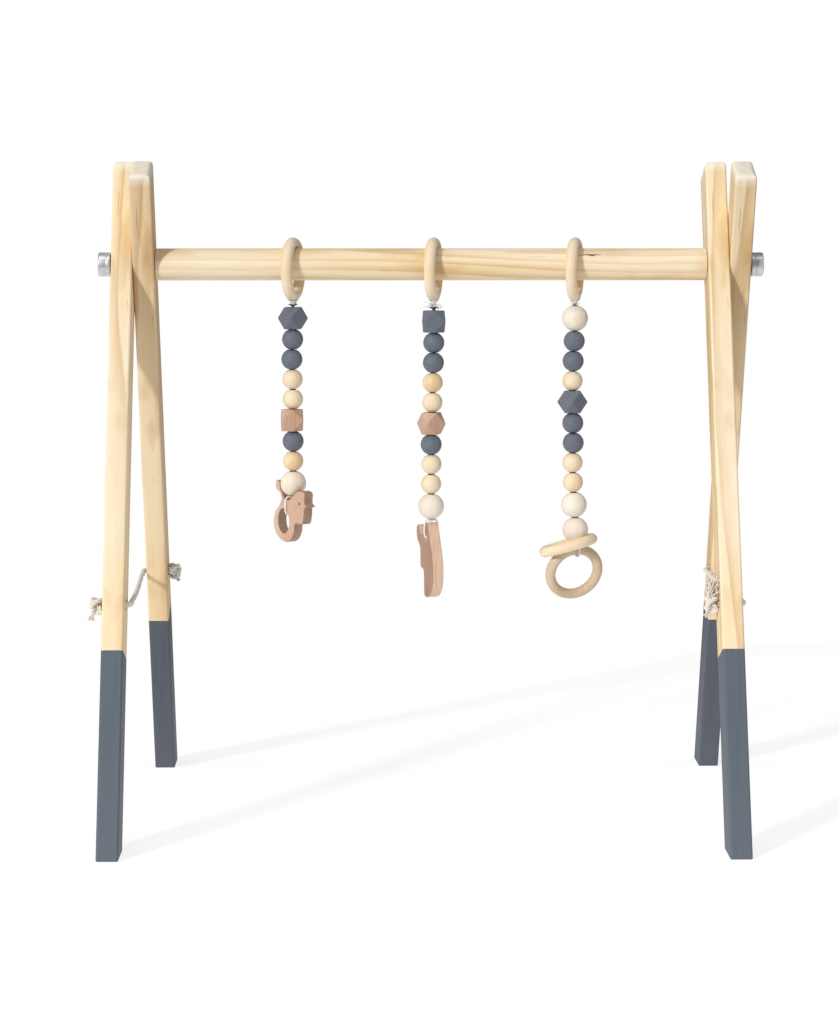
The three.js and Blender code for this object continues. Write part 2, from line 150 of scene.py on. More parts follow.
def colour(red, green, blue):
    """A linear colour from display values of 0 to 255."""
    shares = (value / 255 for value in (red, green, blue))
    return tuple(s / 12.92 if s <= 0.04045 else ((s + 0.055) / 1.055) ** 2.4 for s in shares)


class Graph:
    """A material's node tree, written one node to a line."""

    def __init__(self, name):
        self.material = bpy.data.materials.new(name)
        self.material.use_nodes = True
        self.tree = self.material.node_tree
        self.shader = self.tree.nodes["Principled BSDF"]
        self.place = self.add("ShaderNodeTexCoord").outputs["Object"]

    def feed(self, socket, value):
        if isinstance(value, bpy.types.NodeSocket):
            self.tree.links.new(value, socket)
        else:
            socket.default_value = value

    def add(self, kind, inputs=None, **settings):
        node = self.tree.nodes.new(kind)
        for key, value in settings.items():
            setattr(node, key, value)
        for key, value in (inputs or {}).items():
            self.feed(node.inputs[key], value)
        return node

    def set(self, **inputs):
        """Feeds the shader's sockets, with _ for a space in their names."""
        for name, value in inputs.items():
            self.feed(self.shader.inputs[name.replace("_", " ")], value)

    def math(self, operation, a, b=0.0):
        return self.add("ShaderNodeMath", {0: a, 1: b}, operation=operation).outputs[0]

    def vector(self, operation, a, b=(0.0, 0.0, 0.0)):
        return self.add("ShaderNodeVectorMath", {0: a, 1: b}, operation=operation).outputs[0]

    def reach(self, place):
        """The distance from the origin."""
        return self.add("ShaderNodeVectorMath", {0: place}, operation="LENGTH").outputs["Value"]

    def moved(self, place, scale=(1, 1, 1), turn=(0, 0, 0), shift=(0, 0, 0)):
        inputs = {"Vector": place, "Scale": scale, "Rotation": turn, "Location": shift}
        return self.add("ShaderNodeMapping", inputs).outputs[0]

    def noise(self, place, scale=1.0, detail=2.0, output=0):
        inputs = {"Vector": place, "Scale": scale, "Detail": detail}
        return self.add("ShaderNodeTexNoise", inputs).outputs[output]

    def spread(self, value, low, high, to_low=0.0, to_high=1.0):
        """Maps low..high to to_low..to_high, held at the ends."""
        inputs = {"Value": value, "From Min": low, "From Max": high, "To Min": to_low, "To Max": to_high}
        return self.add("ShaderNodeMapRange", inputs).outputs[0]

    def ramp(self, value, *stops):
        """A share from 0 to 1, from (position, share) stops."""
        node = self.add("ShaderNodeValToRGB", {0: value})
        elements = node.color_ramp.elements
        elements.remove(elements[1])
        for number, (position, share) in enumerate(stops):
            element = elements.new(position) if number else elements[0]
            element.position = position
            element.color = (share, share, share, 1)
        return node.outputs[0]

    def mix(self, factor, a, b, blend="MIX"):
        inputs = {0: factor, 6: self.rgba(a), 7: self.rgba(b)}
        return self.add("ShaderNodeMix", inputs, data_type="RGBA", blend_type=blend).outputs[2]

    @staticmethod
    def rgba(value):
        return (*value, 1) if isinstance(value, tuple) else value

    def bump(self, height, distance, strength=0.5):
        inputs = {"Height": height, "Distance": distance, "Strength": strength}
        self.set(Normal=self.add("ShaderNodeBump", inputs).outputs[0])


def wood_grain(graph, early, late, tint, spacing, pith, tilt=(0.0, 0.0, 0.0), wave=6 * MM, contrast=1.0):
    """Growth rings round a pith line near local Z: gives (colour, height) of the sanded surface."""
    slow = graph.noise(graph.moved(graph.place, (9, 9, 1.7), shift=pith), detail=3, output=1)
    drift = graph.vector("SUBTRACT", slow, (0.5, 0.5, 0.5))
    drift = graph.vector("MULTIPLY", drift, (wave * 4, wave * 4, wave * 4))
    bent = graph.vector("ADD", graph.place, drift)
    flat = graph.moved(graph.moved(bent, turn=tilt, shift=pith), scale=(1, 1, 0))
    phase = graph.math("FRACT", graph.math("DIVIDE", graph.reach(flat), spacing))
    rings = graph.ramp(phase, (0.0, 0.0), (0.4, 0.12), (0.72, 0.6), (0.88, 1.0), (1.0, 0.0))
    fibres = graph.noise(graph.moved(graph.place, (1400, 1400, 22), turn=tilt), detail=3)
    patches = graph.noise(graph.moved(graph.place, (38, 38, 4.5), shift=pith), detail=2)
    flecks = graph.spread(graph.noise(graph.moved(graph.place, (420, 420, 26)), detail=2), 0.70, 0.78)
    strength = graph.math("MULTIPLY", rings, graph.spread(patches, 0.3, 0.7, 0.35 * contrast, contrast))
    shade = graph.mix(strength, early, late)
    shade = graph.mix(graph.spread(patches, 0.42, 0.68, 0.0, 0.8), shade, tint, "MULTIPLY")
    flames = graph.noise(graph.moved(graph.place, (32, 32, 13), shift=pith), detail=2.5)
    shade = graph.mix(graph.spread(flames, 0.52, 0.68, 0.0, 0.75 * contrast), shade, late)
    shade = graph.mix(graph.spread(fibres, 0.35, 0.7, 0.0, 0.22 * contrast), shade, late)
    shade = graph.mix(graph.math("MULTIPLY", flecks, 0.5 * contrast), shade, late, "MULTIPLY")
    height = graph.math("ADD", graph.math("MULTIPLY", rings, 0.4), graph.math("MULTIPLY", fibres, 0.6))
    return shade, height


def wood(name, early, late, tint, spacing, pith, roughness=0.5, **grain):
    graph = Graph(name)
    shade, height = wood_grain(graph, early, late, tint, spacing, pith, **grain)
    graph.set(Base_Color=shade, Roughness=roughness, Specular_IOR_Level=0.35)
    graph.bump(height, 0.12 * MM, 0.35)
    return graph.material


PINE_EARLY = colour(248, 232, 202)
PINE_LATE = colour(208, 172, 118)
PINE_TINT = colour(250, 236, 208)
FRONT_LEG_TONES = {
    "early": PINE_EARLY,
    "late": PINE_LATE,
    "slate": (colour(84, 93, 103), colour(99, 107, 116)),
}
# Darker copies of the front legs' pine and paint: painted shade for the back legs, whose fronts tilt down, away
# from the light.
SHADED_BACK_LEG_TONES = {
    "early": colour(237, 217, 182),
    "late": colour(190, 146, 92),
    "slate": (colour(74, 80, 90), colour(88, 93, 102)),
}


def painted_pine(name, tones, pith, tilt):
    """Pine with slate-grey paint on its foot, for a leg whose local Z runs up it from the bolt."""
    graph = Graph(name)
    grain, height = wood_grain(
        graph, tones["early"], tones["late"], PINE_TINT, 13 * MM, pith, tilt, wave=16 * MM, contrast=0.9
    )
    along = graph.add("ShaderNodeSeparateXYZ", {0: graph.place}).outputs["Z"]
    edge = PAINT_EDGE - BAR.z / math.cos(LEAN)
    painted = graph.math("LESS_THAN", along, edge)
    strokes = graph.noise(graph.moved(graph.place, (260, 260, 9)), detail=3)
    clouds = graph.noise(graph.moved(graph.place, (30, 30, 8)), detail=2)
    slate = graph.mix(graph.spread(strokes, 0.3, 0.7, 0.0, 0.5), *tones["slate"])
    slate = graph.mix(graph.spread(clouds, 0.4, 0.65, 0.0, 0.25), slate, colour(96, 98, 109))
    # Paler towards the top: partly the end grain's own colour, partly a painted highlight on the rounded top edge
    # and the band below it.
    end_grain_and_highlight = graph.spread(along, LEG_ABOVE_BOLT - 12 * MM, LEG_ABOVE_BOLT - 2 * MM, 0.0, 0.7)
    grain = graph.mix(end_grain_and_highlight, grain, colour(248, 245, 230))
    graph.set(Base_Color=graph.mix(painted, grain, slate), Specular_IOR_Level=0.3)
    graph.set(Roughness=graph.spread(painted, 0, 1, 0.52, 0.6))
    brushed = graph.math("MULTIPLY", painted, graph.math("ADD", strokes, 0.8))
    bare = graph.math("MULTIPLY", height, graph.math("SUBTRACT", 1.0, painted))
    graph.bump(graph.math("ADD", brushed, bare), 0.12 * MM, 0.35)
    return graph.material


def silicone(name, base):
    """Matt food-grade silicone with a fine bloom of dust."""
    graph = Graph(name)
    bloom = graph.noise(graph.place, 380, detail=4)
    grit = graph.noise(graph.place, 3200, detail=2)
    lighter = tuple(min(1.0, value * 1.35 + 0.01) for value in base)
    graph.set(Base_Color=graph.mix(graph.spread(bloom, 0.35, 0.75, 0.0, 0.6), base, lighter))
    graph.set(Roughness=graph.spread(bloom, 0.3, 0.7, 0.55, 0.7), Specular_IOR_Level=0.35)
    graph.set(Sheen_Weight=0.12, Sheen_Roughness=0.5)
    graph.bump(grit, 0.05 * MM, 0.3)
    return graph.material


def aluminium():
    """Turned aluminium: fine rings round local Z."""
    graph = Graph("aluminium")
    across = graph.reach(graph.moved(graph.place, (1, 1, 0)))
    along = graph.add("ShaderNodeSeparateXYZ", {0: graph.place}).outputs["Z"]
    cuts = 5200  # lathe marks in a metre
    travel = graph.math("MULTIPLY", graph.math("ADD", across, along), cuts)
    inputs = {"W": travel, "Scale": 1.0, "Detail": 2.0}
    marks = graph.add("ShaderNodeTexNoise", inputs, noise_dimensions="1D").outputs[0]
    smudge = graph.noise(graph.place, 160, detail=2)
    shade = graph.mix(graph.spread(marks, 0.3, 0.7), colour(200, 203, 208), colour(226, 228, 232))
    graph.set(Base_Color=shade)
    graph.set(Metallic=0.75, Roughness=graph.spread(smudge, 0.3, 0.7, 0.36, 0.46))
    graph.bump(marks, 0.02 * MM, 0.12)
    return graph.material


def dull_metal(name, base, spots, roughness):
    graph = Graph(name)
    stain = graph.noise(graph.place, 450, detail=4)
    graph.set(Base_Color=graph.mix(graph.spread(stain, 0.4, 0.7), base, spots), Metallic=0.9)
    graph.set(Roughness=graph.spread(stain, 0.3, 0.7, roughness, roughness + 0.15))
    graph.bump(stain, 0.04 * MM, 0.3)
    return graph.material


def cotton(name, base, shadow, scale):
    """Soft spun fibres."""
    graph = Graph(name)
    fluff = graph.noise(graph.place, scale, detail=5)
    clouds = graph.noise(graph.place, scale / 9, detail=2)
    shade = graph.mix(graph.spread(fluff, 0.3, 0.65), shadow, base)
    shade = graph.mix(graph.spread(clouds, 0.35, 0.65, 0.0, 0.35), shade, base)
    graph.set(Base_Color=shade, Roughness=0.95, Specular_IOR_Level=0.1)
    graph.set(Sheen_Weight=0.3, Sheen_Roughness=0.6)
    graph.bump(fluff, 0.25 * MM, 0.6)
    return graph.material


def painted_shade_wood(name, base):
    """Painted shade: a dark, mottled colour for the wood inside a bore or a split, where little light gets in."""
    graph = Graph(name)
    shade_mottle = graph.noise(graph.place, 900, detail=3)
    darker = tuple(value * 0.55 for value in base)
    graph.set(Base_Color=graph.mix(shade_mottle, darker, base), Roughness=0.9, Specular_IOR_Level=0.1)
    return graph.material


MATERIALS = {
    "maple": wood(
        "maple", colour(240, 224, 196), colour(216, 190, 150), colour(255, 240, 222),
        spacing=3.4 * MM, pith=(0.031, 0.012, 0), contrast=0.28,
    ),
    # A darker copy of maple: painted shade for the lower teething ring.
    "shaded_maple": wood(
        "shaded_maple", colour(208, 190, 162), colour(184, 158, 124), colour(250, 238, 224),
        spacing=3.4 * MM, pith=(0.02, 0.03, 0), contrast=0.35,
    ),
    "beech": wood(
        "beech", colour(204, 176, 157), colour(172, 136, 112), colour(255, 234, 220),
        spacing=2.6 * MM, pith=(0.022, 0.034, 0), roughness=0.48, contrast=0.5,
    ),
    # A darker copy of beech: painted shade, on the squirrel's edges and the elephant's faces.
    "shaded_beech": wood(
        "shaded_beech", colour(176, 146, 126), colour(134, 102, 80), colour(248, 230, 218),
        spacing=2.4 * MM, pith=(0.034, 0.021, 0), roughness=0.48, contrast=0.6,
    ),
    # A lighter copy of beech: painted light on the elephant's edges.
    "lit_beech": wood(
        "lit_beech", colour(228, 196, 170), colour(188, 148, 122), colour(255, 228, 214),
        spacing=3.2 * MM, pith=(0.02, 0.03, 0), roughness=0.48, contrast=0.6,
    ),
    "natural_wood_bead": wood(
        "natural_wood_bead", colour(236, 219, 190), colour(212, 180, 134), colour(255, 236, 212),
        spacing=2.9 * MM, pith=(0.016, 0.009, 0), wave=3 * MM, contrast=0.45,
    ),
    "white_wood_bead": wood(
        "white_wood_bead", colour(236, 227, 213), colour(222, 206, 190), colour(255, 246, 240),
        spacing=3.1 * MM, pith=(0.02, 0.012, 0), roughness=0.55, wave=3 * MM, contrast=0.4,
    ),
    "grey_silicone": silicone("grey_silicone", colour(96, 103, 114)),
    "aluminium": aluminium(),
    "dark_steel": dull_metal("dark_steel", colour(70, 72, 76), colour(46, 46, 50), 0.45),
    "brass": dull_metal("brass", colour(190, 160, 96), colour(140, 112, 62), 0.35),
    "cotton_rope": cotton("cotton_rope", colour(240, 236, 228), colour(196, 190, 180), 1500),
    "thread": cotton("thread", colour(250, 248, 246), colour(222, 216, 214), 2600),
    "bar_pine": wood(
        "bar_pine", PINE_EARLY, PINE_LATE, PINE_TINT,
        spacing=8 * MM, pith=(0.021, 0.012, 0), tilt=(0.012, -0.02, 0), wave=9 * MM, contrast=0.75,
    ),
    # Painted shade: near-black inside bores and on the flats where beads touch, dark brown inside the bar's split.
    "bore": painted_shade_wood("bore", colour(30, 28, 28)),
    "split": painted_shade_wood("split", colour(56, 34, 20)),
    # Painted shade: the dark piece between each top knot and its first bead.
    "dark_knot_shade": silicone("dark_knot_shade", colour(58, 62, 68)),
}


# ---- Making meshes ----


def linked(name, data):
    piece = bpy.data.objects.new(name, data)
    bpy.context.scene.collection.objects.link(piece)
    return piece


def mesh_from(made, name):
    """A finished mesh from a bmesh, with its faces pointing out."""
    bmesh.ops.recalc_face_normals(made, faces=made.faces)
    mesh = bpy.data.meshes.new(name)
    made.to_mesh(mesh)
    made.free()
    return mesh


def applied(piece):
    """The mesh of a piece with its modifiers or curve applied. The piece itself is removed."""
    bpy.context.view_layer.update()
    graph = bpy.context.evaluated_depsgraph_get()
    mesh = bpy.data.meshes.new_from_object(piece.evaluated_get(graph), depsgraph=graph)
    bpy.data.objects.remove(piece)
    return mesh


def turned(name, profile, sides=64):
    """A mesh turned about Z from (radius, z) points."""
    made = bmesh.new()
    corners = [made.verts.new((radius, 0, z)) for radius, z in profile]
    edges = [made.edges.new(pair) for pair in zip(corners, corners[1:])]
    bmesh.ops.spin(
        made,
        geom=corners + edges,
        cent=(0, 0, 0),
        axis=(0, 0, 1),
        angle=2 * math.pi,
        steps=sides,
        use_merge=True,
    )
    bmesh.ops.remove_doubles(made, verts=made.verts, dist=1e-6)
    return mesh_from(made, name)


def arc(centre, radius, start, end, steps):
    """(across, along) points round part of a circle, from one angle to another in degrees."""
    angles = [math.radians(start + (end - start) * i / steps) for i in range(steps + 1)]
    return [(centre[0] + radius * math.cos(a), centre[1] + radius * math.sin(a)) for a in angles]


def cut(mesh, *cutters):
    """The mesh with each cutter taken out. A cut face has its cutter's material."""
    piece = linked("being_cut", mesh)
    tools = [linked("cutter", cutter) for cutter in cutters]
    for tool in tools:
        modifier = piece.modifiers.new("cut", "BOOLEAN")
        modifier.operation = "DIFFERENCE"
        modifier.solver = "EXACT"
        modifier.material_mode = "TRANSFER"
        modifier.object = tool
    result = applied(piece)
    for tool in tools:
        bpy.data.objects.remove(tool)
    return result


def smooth_path(points, per_span, closed=False):
    """Points along a centripetal Catmull-Rom curve through the given ones."""
    given = [Vector(point) for point in points]
    if closed:
        line = [given[-1], *given, *given[:2]]
    else:
        line = [2 * given[0] - given[1], *given, 2 * given[-1] - given[-2]]
    path = []
    for a, b, c, d in zip(line, line[1:], line[2:], line[3:]):
        before, here, after = ((q - p).length ** 0.5 for p, q in ((a, b), (b, c), (c, d)))
        leaving = here * ((b - a) / before - (c - a) / (before + here) + (c - b) / here)
        arriving = here * ((c - b) / here - (d - b) / (here + after) + (d - c) / after)
        for step in range(per_span):
            t = step / per_span
            ends = b * (2 * t**3 - 3 * t**2 + 1) + c * (3 * t**2 - 2 * t**3)
            path.append(ends + leaving * (t**3 - 2 * t**2 + t) + arriving * (t**3 - t**2))
    return path if closed else [*path, given[-1]]


def twisted(path, strands, strand_radius, pitch):
    """The strands of a laid cord along a path, each as (points, radius)."""
    offset = strand_radius / math.sin(math.pi / strands)
    befores = [path[0], *path]
    afters = [*path[1:], path[-1]]
    tangents = [(after - before).normalized() for before, after in zip(befores, afters)]
    side = tangents[0].orthogonal().normalized()
    travelled = 0.0
    lines = [[] for _ in range(strands)]
    for i, point in enumerate(path):
        side = (side - tangents[i] * side.dot(tangents[i])).normalized()
        up = tangents[i].cross(side)
        travelled += (point - path[i - 1]).length if i else 0.0
        for number, line in enumerate(lines):
            angle = 2 * math.pi * (travelled / pitch + number / strands)
            line.append(point + offset * (math.cos(angle) * side + math.sin(angle) * up))
    return [(line, strand_radius) for line in lines]


def frayed(start, direction, count, length, radius, dice):
    """Loose fibres that fan out from a point, each as (points, radius)."""
    lines = []
    for _ in range(count):
        aim = (direction + Vector([dice.uniform(-0.6, 0.6) for _ in range(3)])).normalized()
        reach = length * dice.uniform(0.6, 1.0)
        points = [start + Vector([dice.uniform(-1, 1) * radius for _ in range(3)])]
        for step in range(1, 6):
            sway = Vector([dice.uniform(-0.09, 0.09) * length for _ in range(3)])
            points.append(start + aim * reach * step / 5 + sway)
        lines.append((smooth_path(points, 3), radius))
    return lines


def cord_mesh(name, lines):
    """One mesh of round tubes, from (points, radius) lines."""
    curve = bpy.data.curves.new(name, "CURVE")
    curve.dimensions = "3D"
    curve.bevel_depth = 1.0
    curve.bevel_resolution = 2
    curve.use_fill_caps = True
    for points, radius in lines:
        spline = curve.splines.new("POLY")
        spline.points.add(len(points) - 1)
        for target, point in zip(spline.points, points):
            target.co = (*point, 1)
            target.radius = radius
    return applied(linked(name, curve))


def plate_mesh(name, outline, holes):
    """A flat plate with rounded edges, its thickness along Y.

    Its outline has (x, z) points and a hole is (x, z, radius_x, radius_z), all in millimetres.
    """
    curve = bpy.data.curves.new(name, "CURVE")
    curve.dimensions = "2D"
    curve.fill_mode = "BOTH"
    curve.extrude = PLATE_THICKNESS / 2 - PLATE_EDGE
    curve.bevel_depth = PLATE_EDGE
    curve.bevel_resolution = 4
    curve.offset = -PLATE_EDGE
    loops = [smooth_path([(x * MM, z * MM, 0) for x, z in outline], 7, closed=True)]
    for x, z, radius_x, radius_z in holes:
        turns = [2 * math.pi * i / 48 for i in range(48)]
        rim = [(x + radius_x * math.cos(a), z + radius_z * math.sin(a), 0) for a in turns]
        loops.append([Vector(point) * MM for point in rim])
    for loop in loops:
        spline = curve.splines.new("POLY")
        spline.points.add(len(loop) - 1)
        spline.use_cyclic_u = True
        for target, point in zip(spline.points, loop):
            target.co = (*point, 1)
    mesh = applied(linked(name, curve))
    mesh.transform(Matrix.Rotation(math.pi / 2, 4, "X"))
    made = bmesh.new()
    made.from_mesh(mesh)
    bmesh.ops.remove_doubles(made, verts=made.verts, dist=1e-6)
    return mesh_from(made, name)


def placed(node, mesh, *materials, at=Matrix.Identity(4), flat_faces=False):
    """A fine piece that stands for a CAD node and rides on its body."""
    piece = linked(node + "_fine", mesh)
    piece.matrix_world = at
    for material in materials:
        mesh.materials.append(MATERIALS[material] if isinstance(material, str) else material)
    mesh.shade_smooth()
    if flat_faces:
        piece.modifiers.new("flat faces", "WEIGHTED_NORMAL").keep_sharp = True
    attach(piece, BODY_OF[node])
    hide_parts(node)
    return piece


def pointing(centre, axis):
    """The matrix that puts local Z along an axis, at a centre."""
    turn = Vector((0, 0, 1)).rotation_difference(Vector(axis)).to_matrix().to_4x4()
    return Matrix.Translation(centre) @ turn


# ---- Camera ----


def make_camera():
    """A long lens a little to the left of the middle, looking slightly down."""
    camera = linked("camera", bpy.data.cameras.new("camera"))
    camera.location = (-0.0541, -2.6499, 0.570)
    camera.rotation_euler = (math.radians(90 - 6.152), 0, math.radians(-0.93))
    camera.data.sensor_width = 36
    camera.data.lens = 98.43
    camera.data.clip_end = 100
    bpy.context.scene.camera = camera


make_camera()


# ---- Ropes ----

# The left rope's route: through the front leg, back along the middle plane, through the back leg.
ROPE_ROUTE = [
    (-0.3000, -ROPE_Y - 0.0012, 0.2130),
    (-0.2940, -ROPE_Y - 0.0021, 0.2130),
    (-0.2873, -ROPE_Y - 0.00245, 0.2130),
    (-0.2845, -ROPE_Y - 0.0021, 0.2130),
    (-0.2818, -ROPE_Y - 0.0010, 0.2130),
    (-0.2796, -ROPE_Y + 0.0008, 0.2130),
    (-0.2778, -ROPE_Y + 0.0031, 0.2130),
    (-0.2767, -ROPE_Y + 0.0057, 0.2130),
    (-0.2763, -ROPE_Y + 0.0086, 0.2130),
    (-0.2764, -ROPE_Y + 0.0180, 0.2129),
    (-0.2776, -0.0600, 0.2122),
    (-0.2799, 0.0000, 0.2112),
    (-0.2821, 0.0600, 0.2122),
    (-0.2833, ROPE_Y - 0.0180, 0.2129),
    (-0.2834, ROPE_Y - 0.0086, 0.2130),
    (-0.2830, ROPE_Y - 0.0057, 0.2130),
    (-0.2819, ROPE_Y - 0.0031, 0.2130),
    (-0.2801, ROPE_Y - 0.0008, 0.2130),
    (-0.2779, ROPE_Y + 0.0010, 0.2130),
    (-0.2752, ROPE_Y + 0.0021, 0.2130),
    (-0.2724, ROPE_Y + 0.00245, 0.2130),
    (-0.2657, ROPE_Y + 0.0021, 0.2130),
    (-0.2597, ROPE_Y + 0.0012, 0.2130),
]


def trefoil(angle):
    """A point of a trefoil knot that fits a box of -1 to 1."""
    forward = (math.sin(angle) + 2 * math.sin(2 * angle)) / 2.6
    up = (math.cos(angle) - 2 * math.cos(2 * angle)) / 2.6
    return Vector((math.sin(3 * angle), forward, up))


def rope_knot(node, dice, away, tail, fluff, tuft):
    """A tight knot where a CAD knot is, with a short frayed tail. away is -1 or +1 along X.

    fluff is the reach of the loose fibres on its outer side, and tuft of those that stand up from it.
    """
    centre = middle(node)
    size = extent(node) / 2
    reach = size - Vector((KNOT_ROPE, KNOT_ROPE, KNOT_ROPE))
    steps = 90
    loop = []
    for i in range(steps):
        over = trefoil(2 * math.pi * i / steps)
        loop.append(centre + Vector(a * b for a, b in zip(over, reach)))
    lines = twisted(loop + loop[:1], 3, KNOT_ROPE / 2.15, 11 * MM)
    root = centre + Vector((away * 1.5 * MM, 0, -3 * MM))
    down = Vector((away * 0.35, -0.25, -1)).normalized()
    end = root + down * tail
    stem = smooth_path([root, root + down * tail * 0.5 + Vector((away * MM, 0, 0)), end], 10)
    lines += twisted(stem, 3, KNOT_ROPE / 2.3, 12 * MM)
    lines += frayed(end, down, 26, min(7 * MM, 1.2 * tail), 0.32 * MM, dice)
    lines += frayed(centre, Vector((away, 0, 0.2)), 14, fluff, 0.2 * MM, dice)
    if tuft:
        lines += frayed(centre, Vector((-0.15 * away, 0, 2)), 60, tuft, 0.34 * MM, dice)
    return placed(node, cord_mesh(node, lines), "cotton_rope")


def make_rope(side, route):
    """One rope through both legs of an A-frame, with its two knots already made."""
    name = side + "_rope"
    path = smooth_path(route, 8)
    mesh = cord_mesh(name, twisted(path, 3, ROPE_DIAMETER / 2 / 2.155, ROPE_PITCH))
    mesh.materials.append(MATERIALS["cotton_rope"])
    mesh.shade_smooth()
    rope = linked(name + "_fine", mesh)
    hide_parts(name)
    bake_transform(rope)


def make_ropes():
    dice = random.Random(7)
    shapes = {
        "left_outer_rope_knot": {"away": -1, "tail": 6 * MM, "fluff": 9 * MM, "tuft": 0},
        "left_inner_rope_knot": {"away": 1, "tail": 4 * MM, "fluff": 8 * MM, "tuft": 0},
        "right_outer_rope_knot": {"away": 1, "tail": 1 * MM, "fluff": 3 * MM, "tuft": 0},
        "right_inner_rope_knot": {"away": -1, "tail": 5 * MM, "fluff": 7 * MM, "tuft": 27 * MM},
    }
    knots = {node: rope_knot(node, dice, **shape) for node, shape in shapes.items()}
    for side, turn in (("left", 1), ("right", -1)):
        route = [(turn * x, turn * y, z) for x, y, z in ROPE_ROUTE]
        make_rope(side, route)


make_ropes()


# ---- A-frames ----


def hole_cutter(name, radius, along, material):
    """A rod along X that bores through a leg, at a distance along it from the bolt."""
    half = 30 * MM
    mesh = turned(name, [(0, -half), (radius, -half), (radius, half), (0, half)], 48)
    mesh.transform(Matrix.Translation((0, 0, along)) @ Matrix.Rotation(math.pi / 2, 4, "Y"))
    mesh.materials.append(material)
    return mesh


def leg_box(name, half_width, lean):
    """A leg as a box cut level at the sole, with rounded edges. Its origin is at the bolt."""
    half = LEG_DEPTH / 2
    made = bmesh.new()
    weight = made.edges.layers.float.new("bevel_weight_edge")
    bottom = []
    top = []
    for x, y in ((-1, -1), (1, -1), (1, 1), (-1, 1)):
        sole = -(BAR.z + y * half * math.sin(lean)) / math.cos(lean)
        bottom.append(made.verts.new((x * half_width, y * half, sole)))
        top.append(made.verts.new((x * half_width, y * half, LEG_ABOVE_BOLT)))
    made.faces.new(bottom)
    made.faces.new(top)
    for i in range(4):
        after = (i + 1) % 4
        made.faces.new((bottom[i], bottom[after], top[after], top[i]))
    for edge in made.edges:
        if all(v in top for v in edge.verts):
            edge[weight] = 1.0
        elif all(v in bottom for v in edge.verts):
            edge[weight] = SOLE_EDGE / LEG_TOP_EDGE
        else:
            edge[weight] = LEG_EDGE / LEG_TOP_EDGE
    piece = linked(name, mesh_from(made, name))
    bevel = piece.modifiers.new("round", "BEVEL")
    bevel.limit_method = "WEIGHT"
    bevel.width = LEG_TOP_EDGE
    bevel.segments = 5
    return applied(piece)


def make_leg(node, behind, pith, tilt):
    """One leg with its holes. behind is -1 if its foot is in front and +1 if it is behind."""
    lean = behind * LEAN
    # A back leg takes the darker tones, a painted shade.
    tones = FRONT_LEG_TONES if behind < 0 else SHADED_BACK_LEG_TONES
    material = painted_pine(node + "_pine", tones, pith, tilt)
    mesh = leg_box(node, extent(node).x / 2, lean)
    mesh.materials.append(material)
    rope_hole = -(BAR.z - ROPE_HEIGHT) / math.cos(LEAN)
    # The bolt hole's wall takes the bore's painted shade.
    bolt_cutter = hole_cutter("bolt_hole", BOLT_HOLE, 0, MATERIALS["bore"])
    rope_cutter = hole_cutter("rope_hole", ROPE_HOLE, rope_hole, material)
    mesh = cut(mesh, bolt_cutter, rope_cutter)
    at = Matrix.Translation((middle(node).x, 0, BAR.z)) @ Matrix.Rotation(lean, 4, "X")
    placed(node, mesh, at=at, flat_faces=True)


def make_cap_bolt(side, away):
    """The round metal cap outside a leg with its bolt; away is the cap's direction along X."""
    node = side + "_cap_bolt"
    low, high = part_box(node)
    radius = extent(node).z / 2
    washer_low, washer_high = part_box(side + "_washer")
    face = (washer_low.x if away < 0 else washer_high.x) + away * CAP_GAP
    outer = low.x if away < 0 else high.x
    shank_end = high.x if away < 0 else low.x
    length = abs(outer - face)
    shank = abs(shank_end - face)
    groove = 0.35 * MM
    profile = [
        (0, length - 0.6 * MM),
        (radius * 0.55, length - 0.6 * MM),
        (radius * 0.62, length),
        *arc((radius - CAP_EDGE, length - CAP_EDGE), CAP_EDGE, 90, 0, 5),
        (radius, length * 0.42),
        (radius - groove, length * 0.42 - groove),
        (radius - groove, length * 0.3),
        (radius, length * 0.3 - groove),
        (radius, 0.5 * MM),
        (radius - 0.5 * MM, 0),
        (BOLT_SHANK, 0),
        (BOLT_SHANK, -shank + MM),
        (BOLT_SHANK - MM, -shank),
        (0, -shank),
    ]
    at = pointing(Vector((face, BAR.y, BAR.z)), (away, 0, 0))
    placed(node, turned(node, profile), "aluminium", at=at, flat_faces=True)


def make_washer(side):
    """The dark ring between a cap and the outer leg."""
    node = side + "_washer"
    radius = extent(node).z / 2
    half = extent(node).x / 2
    soft = 0.25 * MM
    profile = [
        (BOLT_HOLE, -half),
        (radius - soft, -half),
        (radius, -half + soft),
        (radius, half - soft),
        (radius - soft, half),
        (BOLT_HOLE, half),
        (BOLT_HOLE, -half),
    ]
    at = pointing(middle(node), (1, 0, 0))
    placed(node, turned(node, profile), "dark_steel", at=at, flat_faces=True)


def make_insert(side):
    """The threaded insert in the bar's end keeps its CAD shape."""
    node = frame["nodes"][side + "_threaded_insert"]
    node.data.materials.clear()
    node.data.materials.append(MATERIALS["brass"])


def make_frames():
    make_leg("left_outer_leg", behind=-1, pith=(0.034, 0.052, 0), tilt=(0.02, 0.03, 0))
    make_leg("left_inner_leg", behind=1, pith=(0.027, -0.036, 0), tilt=(-0.035, 0.02, 0))
    make_leg("right_inner_leg", behind=-1, pith=(-0.03, 0.041, 0), tilt=(0.03, -0.02, 0))
    make_leg("right_outer_leg", behind=1, pith=(-0.041, -0.03, 0), tilt=(-0.02, -0.03, 0))
    for side, away in (("left", -1), ("right", 1)):
        make_cap_bolt(side, away)
        make_washer(side)
        make_insert(side)


make_frames()


# ---- Crossbar ----


